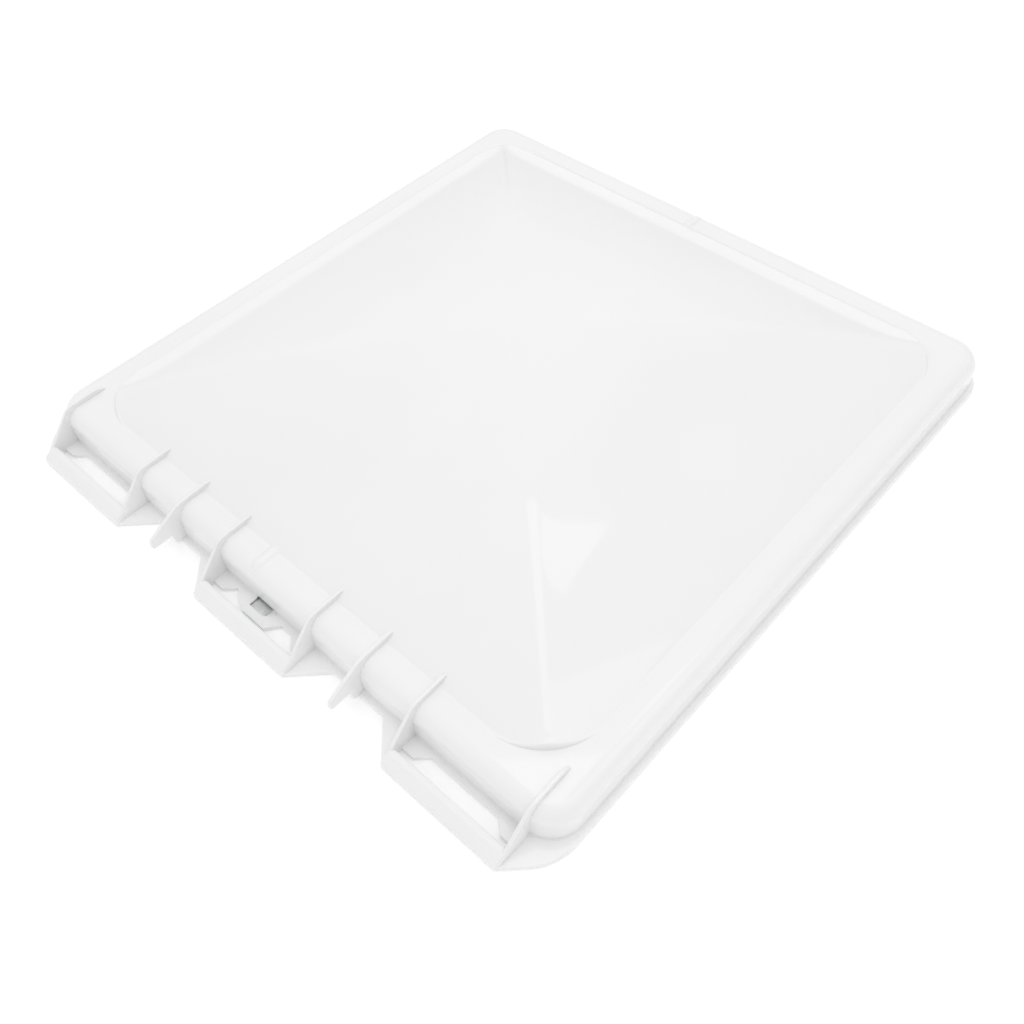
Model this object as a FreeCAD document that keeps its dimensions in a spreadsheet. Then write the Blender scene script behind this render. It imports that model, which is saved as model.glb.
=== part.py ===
"""Hinged lid for a 14 inch caravan roof vent, with the lift rail and sliding shoe under it.

Lid frame: X runs along the hinge edge, Y from the hinge edge (-Y) to the front edge (+Y),
Z up from the underside of the flange. Everything is drawn about the middle of the lid's
walls and then placed so that the origin is the middle of the whole footprint.
"""
import FreeCAD, Part
import math
import os
import re
import Sketcher

SIZES = [
    ("overlap", 1.0),                # how far joined solids and cutters run into each other
    # lid shell
    ("wall_size", 388.0),            # outside of the upright walls, both ways
    ("wall_corner", 18.5),           # corner radius of the walls seen from above
    ("rim_height", 24.0),            # flange underside to the flat top of the rim
    ("shoulder", 9.0),               # radius between wall and rim
    ("shell_thickness", 2.5),
    ("flange_thickness", 2.5),
    ("flange_overhang", 3.2),        # how far the flange stands out past the wall
    ("flange_blend", 25.0),          # radius where an end tab runs into the side flange
    ("tab_blend", 4.0),              # inside radius between a tab and the flange
    # crowned roof of the lid
    ("crown_size", 351.0),           # width of the crown where it leaves the rim
    ("crown_corner", 36.5),          # corner radius of the crown's outline
    ("crown_rise", 38.0),
    ("crown_margin", 0.5),           # the outline stands this far outside the straight sides
    # hinge tabs, on an even pitch of gussets
    ("gusset_pitch", 35.6),          # half the length of a tab
    ("gusset_thickness", 2.0),
    ("gusset_inboard", 27.0),        # how far a gusset runs in over the rim
    ("gusset_proud", 3.2),           # height of a gusset above the rim
    ("crest_end", 0.2),              # and at its inner end
    ("crest_slope", 5.0),            # length of the slope up from that end
    ("crest_corner", 2.5),           # wall to where the crest turns down
    ("crest_fall", 0.6),             # how much the crest has dropped by there
    ("gusset_foot", 0.6),            # height of a gusset's outer end above the bar
    ("gusset_set_back", 0.4),        # outer edge of the tab to a gusset
    ("tab_reach", 21.2),             # wall to the outer edge of a tab
    ("bar_width", 8.6),
    ("bar_height", 8.0),             # inner edge of the wedge bar
    ("bar_lip", 3.4),                # outer edge of the wedge bar
    ("window_inset", 3.3),           # wall to the window
    ("window_half", 21.2),
    ("ear_half", 27.4),
    ("ear_inset", 9.0),
    ("tongue_reach", 10.6),          # the middle tab's tongue
    ("tongue_left", 9.1),
    ("tongue_right", 8.0),
    ("tongue_flank", 5.6),           # run of the tongue's right side
    ("tongue_knee", 6.7),            # tip to the knee in the tongue's left side
    ("knee_set_back", 2.7),
    ("slot_left", 9.0),
    ("slot_right", 7.0),
    ("slot_reach", 5.7),
    ("slot_height", 4.2),
    ("slot_root", 0.6),              # wall to where the slot's right side starts to slant
    # fins between the tabs
    ("fin_thickness", 2.2),
    ("fin_reach", 19.5),
    ("fin_under", 9.0),
    ("fin_tip", 5.6),
    ("heel_reach", 7.6),
    ("heel_under", 2.0),
    ("heel_taper", 0.8),
    # pads on the rim where the rail's screws bite
    ("pad_offset", -1.0),            # the pads stand a little to one side of the rail's middle
    ("pad_width", 6.6),
    ("pad_length", 17.0),
    ("pad_proud", 1.3),
    ("pad_inset", 3.5),
    ("pad_round", 1.0),
    # lift rail
    ("rail_offset", -9.2),           # the rail stands to one side of the middle
    ("strip_width", 22.0),
    ("strip_thickness", 1.2),
    ("strip_gap", 0.3),              # between the strip's edges and the plastic
    ("strip_bend", 7.2),             # outside of the bend down the hinge wall
    ("strip_front_gap", 8.0),        # front wall to the end of the strip
    ("foot_lift", 0.1),              # the strip's foot stays this far above the flange underside
    ("foot_reach", 6.4),             # end of the strip past the hinge wall
    ("foot_clip", 4.0),              # corner cut off the foot under the tongue's left side
    ("channel_width", 26.0),
    ("channel_depth", 10.5),
    ("channel_lip", 6.0),
    ("channel_start", 45.0),         # hinge wall to the channel
    ("channel_length", 300.0),
    ("screw_inset", 15.0),           # wall to the screws
    ("screw_shank", 1.9),
    ("screw_head", 3.7),
    ("screw_head_height", 1.9),
    ("head_bevel", 0.7),
    ("drive_slot_width", 1.0),
    ("drive_slot_depth", 0.8),
    ("screw_bite", 2.9),
    ("screw_hole", 2.1),
    ("washer_radius", 5.2),
    ("washer_thickness", 0.8),
    # sliding shoe and its pivot pin
    ("shoe_length", 34.0),
    ("shoe_gap", 0.25),              # running gap between shoe and rail
    ("shoe_depth", 8.4),             # neck below the channel's lips
    ("shoe_start", 26.5),            # shoe's middle to the front end of the channel
    ("shoe_corner", 2.0),
    ("pin_radius", 3.0),
    ("pin_gap", 0.06),               # running gap round the pin
    ("pin_cover", 1.8),              # nylon left under the pin
    ("pin_reach", 19.0),             # half the pin's length
    ("pin_head_radius", 4.6),
    ("pin_head_height", 2.0),
    ("pin_bevel", 0.5),
    ("groove_depth", 0.7),
    ("groove_width", 1.1),
    ("groove_inset", 1.8),
    ("clip_radius", 5.0),
    ("clip_thickness", 0.9),
    ("clip_mouth", 3.0),
    ("clip_gap", 0.05),
    # end stops in the channel
    ("stop_length", 9.0),
    ("stop_gap", 0.05),
    # weather seal
    ("seal_width", 10.0),
    ("seal_thickness", 8.0),
    ("seal_gap", 7.0),               # inside of the wall to the seal
    ("seal_corner", 12.0),
    ("seal_relief", 0.4),            # room round the strip, the washers and the screws
]

doc = FreeCAD.newDocument("roof_vent_cover")
sheet = doc.addObject("Spreadsheet::Sheet", "sizes")
for row, (alias, number) in enumerate(SIZES, start=1):
    sheet.set("A%d" % row, alias)
    sheet.set("B%d" % row, str(number))
    sheet.setAlias("B%d" % row, alias)
doc.recompute()

NAMES = {alias for alias, number in SIZES}


def bound(text):
    """The expression with every size named in it read from the sheet."""
    return re.sub(r"[a-z_]+", lambda word: "sizes." + word[0] if word[0] in NAMES else word[0], text)


def number(text):
    """What an expression is worth now."""
    return float(sheet.evalExpression(bound(text)))


def drive(thing, prop, text):
    """Bind one property of an object to an expression."""
    thing.setExpression(prop, bound(text))


def new_body(name):
    """An empty body."""
    return doc.addObject("PartDesign::Body", name)


def new_sketch(body, name, role, offset="0"):
    """A sketch on one of the body's own origin planes, moved along the plane's normal."""
    plane = next(feature for feature in body.Origin.OriginFeatures if feature.Role == role)
    sketch = body.newObject("Sketcher::SketchObject", name)
    sketch.AttachmentSupport = [(plane, "")]
    sketch.MapMode = "FlatFace"
    if offset != "0":
        drive(sketch, "AttachmentOffset.Base.z", offset)
    return sketch


def pin_point(sketch, shape, end, across, up):
    """Hold one point of a sketch at two expressions measured from the origin."""
    for kind, text, axis in (("DistanceX", across, -2), ("DistanceY", up, -1)):
        if text == "0":
            sketch.addConstraint(Sketcher.Constraint("PointOnObject", shape, end, axis))
        else:
            index = sketch.addConstraint(Sketcher.Constraint(kind, -1, 1, shape, end, number(text)))
            drive(sketch, "Constraints[%d]" % index, text)


def draw_outline(sketch, corners):
    """A closed outline of straight lines through corners given as pairs of expressions."""
    spots = [FreeCAD.Vector(number(across), number(up), 0) for across, up in corners]
    first = sketch.GeometryCount
    count = len(spots)
    for index in range(count):
        sketch.addGeometry(Part.LineSegment(spots[index], spots[(index + 1) % count]))
    for index in range(count):
        following = first + (index + 1) % count
        sketch.addConstraint(Sketcher.Constraint("Coincident", first + index, 2, following, 1))
    for index, (across, up) in enumerate(corners):
        pin_point(sketch, first + index, 1, across, up)
    return sketch


def draw_circle(sketch, across, up, radius):
    """A circle placed and sized by expressions."""
    centre = FreeCAD.Vector(number(across), number(up), 0)
    shape = sketch.addGeometry(Part.Circle(centre, FreeCAD.Vector(0, 0, 1), number(radius)))
    pin_point(sketch, shape, 3, across, up)
    index = sketch.addConstraint(Sketcher.Constraint("Radius", shape, number(radius)))
    drive(sketch, "Constraints[%d]" % index, radius)
    return sketch


def draw_bow(sketch, radius, centre_up, chord_up):
    """An arc centred over the origin, closed by a level chord."""
    size, middle, chord = number(radius), number(centre_up), number(chord_up)
    start = math.asin((chord - middle) / size)
    circle = Part.Circle(FreeCAD.Vector(0, middle, 0), FreeCAD.Vector(0, 0, 1), size)
    arc = sketch.addGeometry(Part.ArcOfCircle(circle, start, math.pi - start))
    half = size * math.cos(start)
    left, right = FreeCAD.Vector(-half, chord, 0), FreeCAD.Vector(half, chord, 0)
    line = sketch.addGeometry(Part.LineSegment(left, right))
    sketch.addConstraint(Sketcher.Constraint("Coincident", arc, 2, line, 1))
    sketch.addConstraint(Sketcher.Constraint("Coincident", line, 2, arc, 1))
    sketch.addConstraint(Sketcher.Constraint("Horizontal", line))
    pin_point(sketch, arc, 3, "0", centre_up)
    index = sketch.addConstraint(Sketcher.Constraint("Radius", arc, size))
    drive(sketch, "Constraints[%d]" % index, radius)
    index = sketch.addConstraint(Sketcher.Constraint("DistanceY", -1, 1, line, 1, chord))
    drive(sketch, "Constraints[%d]" % index, chord_up)
    return sketch


def add_pad(body, sketch, length, symmetric=False, back=False):
    """Raise a sketch into a solid."""
    pad = body.newObject("PartDesign::Pad", sketch.Name + "_pad")
    pad.Profile = sketch
    drive(pad, "Length", length)
    pad.Midplane = symmetric
    pad.Reversed = back
    return pad


def add_pocket(body, sketch, length, symmetric=False, back=False):
    """Cut a sketch out of a solid, and stop if it cut nothing."""
    doc.recompute()
    before = body.Shape.Volume
    pocket = body.newObject("PartDesign::Pocket", sketch.Name + "_pocket")
    pocket.Profile = sketch
    drive(pocket, "Length", length)
    pocket.Midplane = symmetric
    pocket.Reversed = back
    doc.recompute()
    if not pocket.Shape.Volume < before:
        raise RuntimeError(pocket.Name + " cuts nothing")
    return pocket


def round_edges(body, name, radius, test):
    """Fillet the edges of the body's tip that pass a test."""
    doc.recompute()
    base = body.Tip
    names = ["Edge%d" % (index + 1) for index, edge in enumerate(base.Shape.Edges) if test(edge)]
    fillet = body.newObject("PartDesign::Fillet", name)
    fillet.Base = (base, names)
    drive(fillet, "Radius", radius)
    return fillet


def repeat(body, name, features, length, count):
    """Repeat features along X, evenly over a length."""
    pattern = body.newObject("PartDesign::LinearPattern", name)
    axis = next(feature for feature in body.Origin.OriginFeatures if feature.Role == "X_Axis")
    pattern.Originals = features
    pattern.Direction = (axis, [""])
    drive(pattern, "Length", length)
    pattern.Occurrences = count
    body.Tip = pattern
    return pattern


def join(kind, name, pieces):
    """A boolean of several solids."""
    result = doc.addObject(kind, name)
    result.Shapes = pieces
    return result


def cut(name, base, tool):
    """One solid less another."""
    result = doc.addObject("Part::Cut", name)
    result.Base = base
    result.Tool = tool
    return result


def compound(name, pieces):
    """Several separate solids kept as one object."""
    result = doc.addObject("Part::Compound", name)
    result.Links = pieces
    return result


def revolve(body, sketch, role):
    """A full turn of a sketch about one of the body's own axes."""
    turned = body.newObject("PartDesign::Revolution", sketch.Name + "_turned")
    axis = next(feature for feature in body.Origin.OriginFeatures if feature.Role == role)
    turned.Profile = sketch
    turned.ReferenceAxis = (axis, [""])
    turned.Angle = 360
    return turned


def is_upright(edge):
    """True for a straight edge along Z."""
    ends = [vertex.Point for vertex in edge.Vertexes]
    return len(ends) == 2 and (ends[0] - ends[1]).cross(FreeCAD.Vector(0, 0, 1)).Length < 1e-6


def lies_at(edge, height):
    """True for an edge that lies level at one height."""
    box = edge.BoundBox
    return abs(box.ZMin - height) < 1e-4 and abs(box.ZMax - height) < 1e-4


def is_along_x(edge):
    """True for a straight edge along X."""
    ends = [vertex.Point for vertex in edge.Vertexes]
    return len(ends) == 2 and (ends[0] - ends[1]).cross(FreeCAD.Vector(1, 0, 0)).Length < 1e-6


def is_by_hinge(edge):
    """True for an edge on the hinge side of the lid."""
    return edge.BoundBox.YMax < 0


def rectangle(half_across, half_up):
    """Corners of a rectangle about the origin."""
    return [
        ("-(%s)" % half_across, "-(%s)" % half_up),
        (half_across, "-(%s)" % half_up),
        (half_across, half_up),
        ("-(%s)" % half_across, half_up),
    ]


def block(x_low, x_high, y_low, y_high):
    """Corners of a rectangle between given sides."""
    return [(x_low, y_low), (x_high, y_low), (x_high, y_high), (x_low, y_high)]


def shifted(corners, across):
    """The same corners, moved along X."""
    return [("%s + %s" % (x, across), y) for x, y in corners]


def mirrored(corners):
    """The same corners on the other side of the Y axis, in the opposite order."""
    return [("-(%s)" % x, y) for x, y in reversed(corners)]


def rounded_block(name, half, corner, low, high):
    """An upright square block with rounded corners."""
    body = new_body(name)
    sketch = new_sketch(body, name + "_outline", "XY_Plane", low)
    draw_outline(sketch, rectangle(half, half))
    add_pad(body, sketch, "%s - (%s)" % (high, low))
    round_edges(body, name + "_corners", corner, is_upright)
    return body


WALL = "wall_size / 2"
INNER_WALL = "wall_size / 2 - shell_thickness"
CEILING = "rim_height - shell_thickness"
FLANGE = "wall_size / 2 + flange_overhang"
CROWN_RADIUS = "((crown_size / 2) ^ 2 + crown_rise ^ 2) / (2 * crown_rise)"
CROWN_CENTRE = "rim_height + crown_rise - " + CROWN_RADIUS
CHANNEL_START = "(-(%s) + channel_start)" % WALL
LIP_LEVEL = "(%s - channel_depth)" % CEILING
SHOE_MIDDLE = "(%s + channel_length - shoe_start)" % CHANNEL_START
PIN_LEVEL = "(%s - shoe_depth + pin_cover + pin_radius)" % LIP_LEVEL
SCREW_REACH = WALL + " - screw_inset"
SCREW_ENDS = (("hinge", "-"), ("front", ""))


def crown(name, lift, half, corner):
    """The crowned roof: two crossed bows that meet in four ridges, cut to a round-cornered outline.

    lift moves the skin in along its own normal, so that the hollow is a true offset.
    """
    foot = "rim_height - %s - overlap" % lift
    bows = []
    for role, side in (("XZ_Plane", "across"), ("YZ_Plane", "along")):
        body = new_body(name + "_" + side)
        sketch = new_sketch(body, name + "_" + side + "_bow", role)
        draw_bow(sketch, "%s - %s" % (CROWN_RADIUS, lift), CROWN_CENTRE, foot)
        add_pad(body, sketch, "wall_size", symmetric=True)
        bows.append(body)
    column = rounded_block(name + "_column", half, corner, foot, "rim_height + crown_rise + overlap")
    return join("Part::MultiCommon", name, bows + [column])


def rim_block():
    """The solid rim: upright walls, rounded shoulder and two screw pads on top."""
    body = rounded_block("rim_block", WALL, "wall_corner", "0", "rim_height")
    top = number("rim_height")
    round_edges(body, "rim_shoulder", "shoulder", lambda edge: lies_at(edge, top))
    middle = "rail_offset + pad_offset"
    left, right = middle + " - pad_width / 2", middle + " + pad_width / 2"
    near, far = WALL + " - pad_inset - pad_length", WALL + " - pad_inset"
    ends = (("hinge_pad", "-(%s)" % far, "-(%s)" % near), ("front_pad", near, far))
    for name, y_low, y_high in ends:
        sketch = new_sketch(body, name, "XY_Plane", "rim_height - shoulder / 2")
        draw_outline(sketch, block(left, right, y_low, y_high))
        add_pad(body, sketch, "shoulder / 2 + pad_proud")
    pad_top = number("rim_height + pad_proud")
    round_edges(body, "pad_edges", "pad_round", lambda edge: lies_at(edge, pad_top))
    return body


def flange_outline():
    """Plan of the flange with its three tabs, right half first and then mirrored."""
    edge, tip = "-(%s)" % FLANGE, "-(%s + tab_reach)" % WALL
    slope = "(tab_reach - flange_overhang)"
    right = [
        ("gusset_pitch", tip),
        ("gusset_pitch + " + slope, edge),
        ("3 * gusset_pitch - " + slope, edge),
        ("3 * gusset_pitch", tip),
        ("5 * gusset_pitch", tip),
        (FLANGE, "-(%s + tab_reach) + %s - 5 * gusset_pitch" % (WALL, FLANGE)),
        (FLANGE, FLANGE),
    ]
    return right + mirrored(right)


def window_outline():
    """Plan of the window in one tab, about the tab's middle, with an ear by each gusset."""
    side = "gusset_pitch - gusset_thickness / 2"
    bar, ear = "-(%s + tab_reach - bar_width)" % WALL, "-(%s + ear_inset)" % WALL
    right = [(side, bar), (side, ear), ("ear_half", ear), ("window_half", "-(%s + window_inset)" % WALL)]
    return right + mirrored(right)


def tongue_outline():
    """Plan of the tongue that fills part of the middle window."""
    tip, edge = "-(%s + tongue_reach)" % WALL, "-(%s + window_inset)" % WALL
    knee = "-(%s + tongue_reach - knee_set_back)" % WALL
    root = "-(%s + window_inset - overlap)" % WALL
    return [
        ("-window_half", root),
        ("-window_half", edge),
        ("-(tongue_left + tongue_knee)", knee),
        ("-tongue_left", tip),
        ("tongue_right", tip),
        ("tongue_right + tongue_flank", edge),
        ("tongue_right + tongue_flank", root),
    ]


def crest_outline():
    """Side view of the top of a gusset or fin, from its inner end to where it turns down."""
    return [
        ("-(%s - gusset_inboard)" % WALL, "rim_height - overlap"),
        ("-(%s - gusset_inboard)" % WALL, "rim_height + crest_end"),
        ("-(%s - gusset_inboard + crest_slope)" % WALL, "rim_height + gusset_proud"),
        ("-(%s - crest_corner)" % WALL, "rim_height + gusset_proud - crest_fall"),
    ]


def root_outline():
    """Side view of the part of a gusset or fin that is buried in the wall and shoulder."""
    return [
        ("-(%s - overlap)" % WALL, "0"),
        ("-(%s - shoulder)" % WALL, "rim_height - overlap"),
    ]


def gusset_outline():
    """Side view of a gusset: over the rim, down past the shoulder and out to the bar."""
    outer = "-(%s + tab_reach - gusset_set_back)" % WALL
    out_to_bar = [
        ("-(%s + tab_reach - bar_width)" % WALL, "bar_height + gusset_foot"),
        (outer, "bar_lip"),
        (outer, "0"),
    ]
    return crest_outline() + out_to_bar + root_outline()


def fin_outline():
    """Side view of a fin: as a gusset over the rim, then a free tip with a heel on the flange."""
    tip_and_heel = [
        ("-(%s + fin_reach)" % WALL, "fin_under + fin_tip"),
        ("-(%s + fin_reach)" % WALL, "fin_under"),
        ("-(%s + heel_reach)" % WALL, "fin_under"),
        ("-(%s + heel_reach - heel_taper)" % WALL, "heel_under"),
        ("-(%s + flange_overhang)" % WALL, "heel_under"),
        ("-(%s + flange_overhang - heel_taper)" % WALL, "0"),
    ]
    return crest_outline() + tip_and_heel + root_outline()


def bar_outline():
    """Side view of the wedge bar along a tab's outer edge."""
    inner, outer = "-(%s + tab_reach - bar_width)" % WALL, "-(%s + tab_reach)" % WALL
    return [(inner, "0"), (inner, "bar_height"), (outer, "bar_lip"), (outer, "0")]


def hinge_edge():
    """Flange plate with the tabs, their windows and bars, the gussets and the fins."""
    body = new_body("hinge_edge")
    plate = new_sketch(body, "flange_plate", "XY_Plane")
    draw_outline(plate, flange_outline())
    add_pad(body, plate, "flange_thickness")
    side, front = number(FLANGE), number(FLANGE)
    slope_foot = number("gusset_pitch + tab_reach - flange_overhang")

    def at_front_corner(edge):
        return is_upright(edge) and edge.Vertexes[0].Y > front / 2

    def at_hinge_corner(edge):
        spot = edge.Vertexes[0].Point
        return is_upright(edge) and abs(abs(spot.x) - side) < 0.01 and spot.y < 0

    def at_tab_root(edge):
        spot = edge.Vertexes[0].Point
        return is_upright(edge) and abs(spot.y + front) < 0.01 and abs(spot.x) > slope_foot - 0.01

    round_edges(body, "front_corners", "wall_corner + flange_overhang", at_front_corner)
    round_edges(body, "hinge_corners", "flange_blend", at_hinge_corner)
    round_edges(body, "tab_roots", "tab_blend", at_tab_root)

    window = new_sketch(body, "window", "XY_Plane")
    draw_outline(window, shifted(window_outline(), "-4 * gusset_pitch"))
    window_cut = add_pocket(body, window, "2 * flange_thickness", symmetric=True)
    repeat(body, "windows", [window_cut], "8 * gusset_pitch", 3)

    tongue = new_sketch(body, "tongue", "XY_Plane")
    draw_outline(tongue, tongue_outline())
    add_pad(body, tongue, "flange_thickness")

    bar = new_sketch(body, "bar", "YZ_Plane", "-4 * gusset_pitch")
    draw_outline(bar, bar_outline())
    bar_pad = add_pad(body, bar, "2 * gusset_pitch", symmetric=True)
    repeat(body, "bars", [bar_pad], "8 * gusset_pitch", 3)

    gusset = new_sketch(body, "gusset", "YZ_Plane", "-5 * gusset_pitch")
    draw_outline(gusset, gusset_outline())
    gusset_pad = add_pad(body, gusset, "gusset_thickness", symmetric=True)
    repeat(body, "gussets", [gusset_pad], "10 * gusset_pitch", 6)

    fin = new_sketch(body, "fin", "YZ_Plane", "-2 * gusset_pitch")
    draw_outline(fin, fin_outline())
    fin_pad = add_pad(body, fin, "fin_thickness", symmetric=True)
    repeat(body, "fins", [fin_pad], "4 * gusset_pitch", 2)
    return body


def slot_cutter():
    """What the slot takes from the middle tongue and the foot of the hinge wall."""
    body = new_body("slot_cutter")
    sketch = new_sketch(body, "slot", "XY_Plane", "-overlap")
    slant = "(slot_reach - slot_root)"
    draw_outline(sketch, [
        ("-slot_left", "-(%s + slot_reach)" % WALL),
        ("slot_right - " + slant, "-(%s + slot_reach)" % WALL),
        ("slot_right", "-(%s + slot_root)" % WALL),
        ("slot_right", "-(%s - overlap)" % INNER_WALL),
        ("-slot_left", "-(%s - overlap)" % INNER_WALL),
    ])
    add_pad(body, sketch, "slot_height + overlap")
    return body


def foot_notch():
    """Room in the wall's foot and under the tongue for the end of the rail's strip."""
    body = new_body("foot_notch")
    sketch = new_sketch(body, "notch", "XY_Plane", "-overlap")
    side = "strip_width / 2 + strip_gap"
    draw_outline(sketch, block(
        "rail_offset - (%s)" % side, "rail_offset + %s" % side,
        "-(%s + foot_reach + strip_gap)" % WALL, "-(%s - overlap)" % INNER_WALL,
    ))
    add_pad(body, sketch, "overlap + foot_lift + strip_thickness + strip_gap")
    return body


def screw_hole_cutter():
    """Blind pilot holes for the rail's screws."""
    body = new_body("screw_hole_cutter")
    for name, sign in SCREW_ENDS:
        sketch = new_sketch(body, name + "_pilot", "XY_Plane", CEILING + " - overlap")
        draw_circle(sketch, "rail_offset", "%s(%s)" % (sign, SCREW_REACH), "screw_shank")
        add_pad(body, sketch, "screw_bite + overlap")
    return body


def lid_shell():
    """The one-piece moulded lid."""
    outside = join("Part::MultiFuse", "lid_outside", [
        rim_block(),
        crown("crown", "0", "crown_size / 2 + crown_margin", "crown_corner"),
        hinge_edge(),
    ])
    hollow = rounded_block(
        "rim_hollow", INNER_WALL, "wall_corner - shell_thickness", "-overlap", CEILING)
    ceiling = number(CEILING)
    round_edges(hollow, "hollow_shoulder", "shoulder - shell_thickness",
                lambda edge: lies_at(edge, ceiling))
    inside = join("Part::MultiFuse", "lid_inside", [
        hollow,
        crown("crown_hollow", "shell_thickness",
              "crown_size / 2 + crown_margin - shell_thickness", "crown_corner - shell_thickness"),
        slot_cutter(),
        foot_notch(),
    ])
    hollowed = cut("lid_hollowed", outside, inside)
    return cut("lid_drilled", hollowed, screw_hole_cutter())


def lift_rail():
    """Galvanised strip from the hinge tongue to the front rim, with the channel under it."""
    body = new_body("rail")
    top, under = CEILING, "(%s - strip_thickness)" % CEILING
    wall_face, leg_face = "-(%s - strip_gap)", "-(%s - strip_gap - strip_thickness)"
    toe = "-(%s + foot_reach)" % WALL
    strip = new_sketch(body, "strip", "YZ_Plane", "rail_offset")
    draw_outline(strip, [
        (toe, "foot_lift"),
        (leg_face % INNER_WALL, "foot_lift"),
        (leg_face % INNER_WALL, under),
        ("%s - strip_front_gap" % INNER_WALL, under),
        ("%s - strip_front_gap" % INNER_WALL, top),
        (wall_face % INNER_WALL, top),
        (wall_face % INNER_WALL, "foot_lift + strip_thickness"),
        (toe, "foot_lift + strip_thickness"),
    ])
    add_pad(body, strip, "strip_width", symmetric=True)
    for name, height, radius in (("bend_outside", top, "strip_bend"),
                                 ("bend_inside", under, "strip_bend - strip_thickness")):
        level = number(height)
        round_edges(body, name, radius,
                    lambda edge: lies_at(edge, level) and is_along_x(edge) and is_by_hinge(edge))

    left, near = "rail_offset - strip_width / 2 - overlap", toe + " - overlap"
    corner = new_sketch(body, "foot_corner", "XY_Plane")
    draw_outline(corner, [
        (left, near),
        (left + " + foot_clip + 2 * overlap", near),
        (left, near + " + foot_clip + 2 * overlap"),
    ])
    add_pocket(body, corner, "4 * strip_thickness", symmetric=True)

    channel = new_sketch(body, "channel", "XZ_Plane", "-(%s)" % CHANNEL_START)
    side, lip = "channel_width / 2", "(channel_width / 2 - channel_lip)"
    inside = "(channel_width / 2 - strip_thickness)"
    right = [
        (lip, LIP_LEVEL),
        (side, LIP_LEVEL),
        (side, top),
    ]
    hollow = [
        (lip, LIP_LEVEL + " + strip_thickness"),
        (inside, LIP_LEVEL + " + strip_thickness"),
        (inside, under),
    ]
    outline = hollow[::-1] + right
    outline = outline + mirrored(outline)
    draw_outline(channel, shifted(outline, "rail_offset"))
    add_pad(body, channel, "channel_length", back=True)

    for name, sign in SCREW_ENDS:
        hole = new_sketch(body, name + "_screw_hole", "XY_Plane", CEILING)
        draw_circle(hole, "rail_offset", "%s(%s)" % (sign, SCREW_REACH), "screw_hole")
        add_pocket(body, hole, "2 * strip_thickness")
    return body


def screw_outline(level):
    """Half section of a pan-head screw, point up, whose head bears at a level."""
    point = CEILING + " + screw_bite"
    return [
        ("0", level + " - screw_head_height"),
        ("screw_head - head_bevel", level + " - screw_head_height"),
        ("screw_head", level + " - screw_head_height + head_bevel"),
        ("screw_head", level),
        ("screw_shank", level),
        ("screw_shank", point + " - head_bevel"),
        ("0", point),
    ]


def pair(name, one):
    """Two equal solids, one at each of the rail's screws."""
    spots = []
    for end, sign in SCREW_ENDS:
        copy = compound("%s_%s" % (name, end), [one])
        drive(copy, "Placement.Base.x", "rail_offset")
        drive(copy, "Placement.Base.y", "%s(%s)" % (sign, SCREW_REACH))
        spots.append(copy)
    return compound(name + "_pair", spots)


def rail_screws():
    """The two short self-tapping screws that hold the rail to the rim."""
    body = new_body("screw")
    level = CEILING + " - strip_thickness - washer_thickness"
    sketch = new_sketch(body, "screw_section", "XZ_Plane")
    draw_outline(sketch, screw_outline(level))
    revolve(body, sketch, "Z_Axis")
    slot = new_sketch(body, "drive_slot", "XY_Plane", level + " - screw_head_height")
    draw_outline(slot, rectangle("screw_head - 2 * head_bevel", "drive_slot_width / 2"))
    add_pocket(body, slot, "drive_slot_depth", back=True)
    return pair("screws", body)


def rail_washers():
    """The washers under the screws' heads."""
    body = new_body("washer")
    sketch = new_sketch(body, "washer_ring", "XY_Plane", CEILING + " - strip_thickness")
    draw_circle(sketch, "0", "0", "washer_radius")
    draw_circle(sketch, "0", "0", "screw_hole")
    add_pad(body, sketch, "washer_thickness", back=True)
    return pair("washers", body)


def lift_shoe():
    """The nylon shoe that slides in the channel, with a neck below it for the pin."""
    body = new_body("shoe")
    wide = "(channel_width / 2 - strip_thickness - shoe_gap)"
    neck = "(channel_width / 2 - channel_lip - shoe_gap)"
    low = "%s + strip_thickness + shoe_gap" % LIP_LEVEL
    high = "%s - strip_thickness - shoe_gap" % CEILING
    foot = "%s - shoe_depth" % LIP_LEVEL
    sketch = new_sketch(body, "shoe_section", "XZ_Plane", "-(%s)" % SHOE_MIDDLE)
    right = [(neck, foot), (neck, low), (wide, low), (wide, high)]
    draw_outline(sketch, shifted(right + mirrored(right), "rail_offset"))
    add_pad(body, sketch, "shoe_length", symmetric=True)
    round_edges(body, "shoe_corners", "shoe_corner", is_upright)
    bore = new_sketch(body, "pin_bore", "YZ_Plane", "rail_offset")
    draw_circle(bore, SHOE_MIDDLE, PIN_LEVEL, "pin_radius + pin_gap")
    add_pocket(body, bore, "channel_width", symmetric=True)
    return body


def pin_outline():
    """Half section of the pivot pin, headed at one end and grooved at the other."""
    groove = "(pin_reach - groove_inset)"
    return [
        ("-pin_reach", "0"),
        ("-pin_reach", "pin_head_radius"),
        ("-pin_reach + pin_head_height", "pin_head_radius"),
        ("-pin_reach + pin_head_height", "pin_radius"),
        (groove + " - groove_width", "pin_radius"),
        (groove + " - groove_width", "pin_radius - groove_depth"),
        (groove, "pin_radius - groove_depth"),
        (groove, "pin_radius"),
        ("pin_reach - pin_bevel", "pin_radius"),
        ("pin_reach", "pin_radius - pin_bevel"),
        ("pin_reach", "0"),
    ]


def on_pin_axis(name, piece):
    """A piece drawn about the X axis, moved to the pin's axis."""
    moved = compound(name + "_on_axis", [piece])
    drive(moved, "Placement.Base.x", "rail_offset")
    drive(moved, "Placement.Base.y", SHOE_MIDDLE)
    drive(moved, "Placement.Base.z", PIN_LEVEL)
    return moved


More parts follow.
